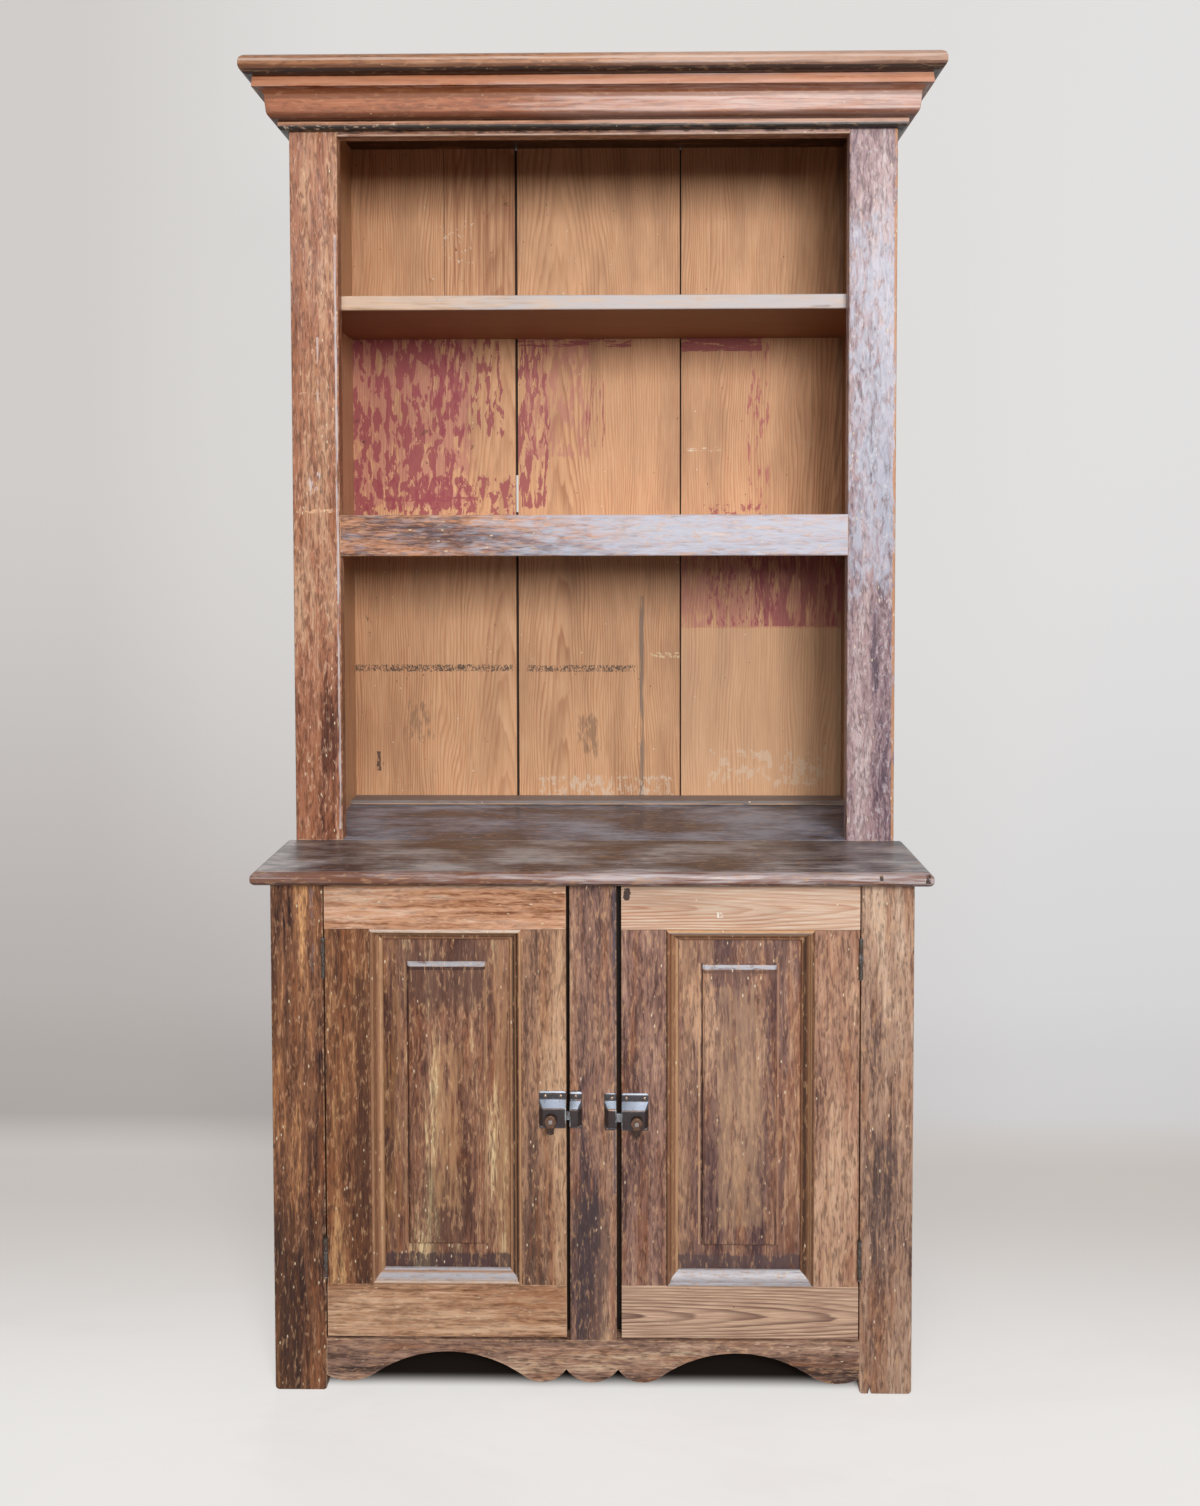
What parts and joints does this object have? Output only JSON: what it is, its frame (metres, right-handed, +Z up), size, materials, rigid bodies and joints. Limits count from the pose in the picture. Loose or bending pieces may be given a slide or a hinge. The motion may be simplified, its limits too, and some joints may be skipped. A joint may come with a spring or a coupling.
{
  "type": "step back cupboard",
  "caption": "Tall wooden cupboard: an open shelved hutch set back on a base with panelled doors, rim latches, a scalloped apron and a mitred cornice.",
  "frame": {"origin": "middle of the bounding box at floor level", "axes": "+X to the right as seen from the front, +Y towards the back, +Z up; the doors face -Y"},
  "size_m": [1.092, 0.521, 2.032],
  "materials": {
    "grained_paint": "worn red-brown grained paint",
    "counter_wood": "dark, scratched and water-marked wood",
    "bare_pine": "aged bare pine",
    "black_iron": "blackened and rubbed",
    "worn_steel": "dull, lightly rusted"
  },
  "bodies": {
    "case": {"hutch_left_side": "grained_paint", "hutch_right_side": "grained_paint", "hutch_left_stile": "grained_paint", "hutch_right_stile": "grained_paint", "hutch_top_rail": "grained_paint", "hutch_middle_rail": "grained_paint", "upper_shelf": "grained_paint", "middle_shelf": "grained_paint", "top_board": "grained_paint", "crown_front": "grained_paint", "crown_left": "grained_paint", "crown_right": "grained_paint", "cornice_beads": "grained_paint", "base_left_side": "grained_paint", "base_right_side": "grained_paint", "base_left_stile": "grained_paint", "base_right_stile": "grained_paint", "centre_stile": "grained_paint", "apron": "grained_paint", "counter_ledge": "counter_wood", "counter_rear_board": "counter_wood", "back_strip": "counter_wood", "hutch_back_board_left": "bare_pine", "hutch_back_board_centre": "bare_pine", "hutch_back_board_right": "bare_pine", "base_back_boards": "bare_pine", "base_floor": "bare_pine", "base_shelf": "bare_pine", "base_shelf_cleats": "bare_pine", "door_stops": "bare_pine", "hinge_case_leaves": "black_iron", "latch_strikes": "black_iron", "hinge_pins": "worn_steel"},
    "left_door": {"left_door_top_rail": "grained_paint", "left_door_bottom_rail": "grained_paint", "left_door_hinge_stile": "grained_paint", "left_door_lock_stile": "grained_paint", "left_door_panel": "grained_paint", "left_door_moulding": "grained_paint", "left_door_hinge_leaves": "black_iron", "left_latch_case": "black_iron", "left_latch_spring": "worn_steel"},
    "left_knob": {"left_latch_knob": "black_iron", "left_latch_crank": "worn_steel"},
    "left_bolt": {"left_latch_bolt": "worn_steel"},
    "right_door": {"right_door_top_rail": "grained_paint", "right_door_bottom_rail": "grained_paint", "right_door_hinge_stile": "grained_paint", "right_door_lock_stile": "grained_paint", "right_door_panel": "grained_paint", "right_door_moulding": "grained_paint", "right_door_hinge_leaves": "black_iron", "right_latch_case": "black_iron", "right_latch_spring": "worn_steel"},
    "right_knob": {"right_latch_knob": "black_iron", "right_latch_crank": "worn_steel"},
    "right_bolt": {"right_latch_bolt": "worn_steel"}
  },
  "joints": [
    {"name": "left_door_swing", "type": "hinge", "parent": "case", "child": "left_door", "pos_m": [-0.3989, -0.2355, 0.433], "axis": [0, 0, -1], "range_deg": [0, 170]},
    {"name": "left_knob_turn", "type": "hinge", "parent": "left_door", "child": "left_knob", "pos_m": [-0.06075, -0.2391, 0.4205], "axis": [0, -1, 0], "range_deg": [0, 60]},
    {"name": "left_bolt_slide", "type": "slide", "parent": "left_door", "child": "left_bolt", "axis": [-1, 0, 0], "range_m": [0, 0.0055]},
    {"name": "right_door_swing", "type": "hinge", "parent": "case", "child": "right_door", "pos_m": [0.3989, -0.2355, 0.433], "axis": [0, 0, 1], "range_deg": [0, 170]},
    {"name": "right_knob_turn", "type": "hinge", "parent": "right_door", "child": "right_knob", "pos_m": [0.06715, -0.2391, 0.4175], "axis": [0, 1, 0], "range_deg": [0, 60]},
    {"name": "right_bolt_slide", "type": "slide", "parent": "right_door", "child": "right_bolt", "axis": [1, 0, 0], "range_m": [0, 0.0055]}
  ],
  "couplings": [
    {"joint": "left_bolt_slide", "follows": "left_knob_turn", "m_per_rad": 0.00525},
    {"joint": "right_bolt_slide", "follows": "right_knob_turn", "m_per_rad": 0.00525}
  ]
}
